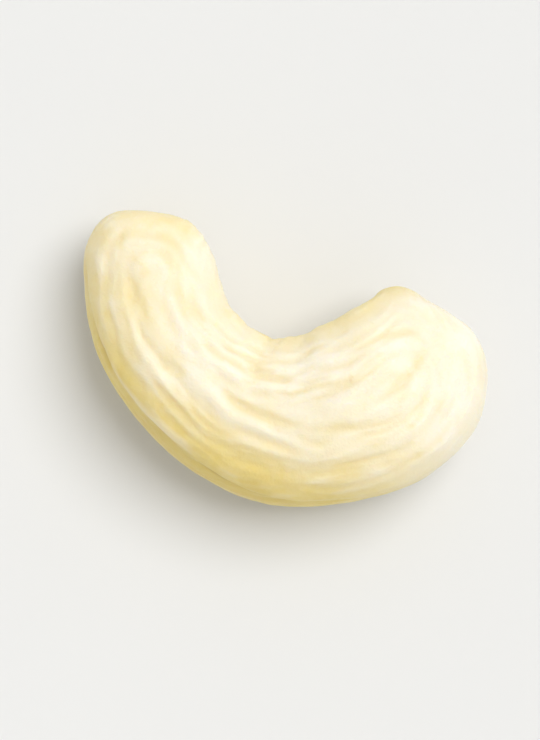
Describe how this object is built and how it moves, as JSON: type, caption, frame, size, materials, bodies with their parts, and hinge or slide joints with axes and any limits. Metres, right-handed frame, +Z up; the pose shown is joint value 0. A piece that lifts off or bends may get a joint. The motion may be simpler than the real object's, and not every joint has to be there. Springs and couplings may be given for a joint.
{
  "type": "cashew nut",
  "caption": "Whole shelled cashew kernel, a plump crescent with one broader end, lying on its side; food, filler or garnish.",
  "frame": {"origin": "under the middle of the kernel's box, on the surface that it rests on", "axes": "+X along the longest extent, towards the broad end; +Y from the rounded back towards the hollow side; +Z up, across the crescent"},
  "size_m": [0.026, 0.0152, 0.0098],
  "materials": {
    "kernel": "satin"
  },
  "bodies": {
    "root": {"kernel": "kernel"}
  },
  "joints": []
}
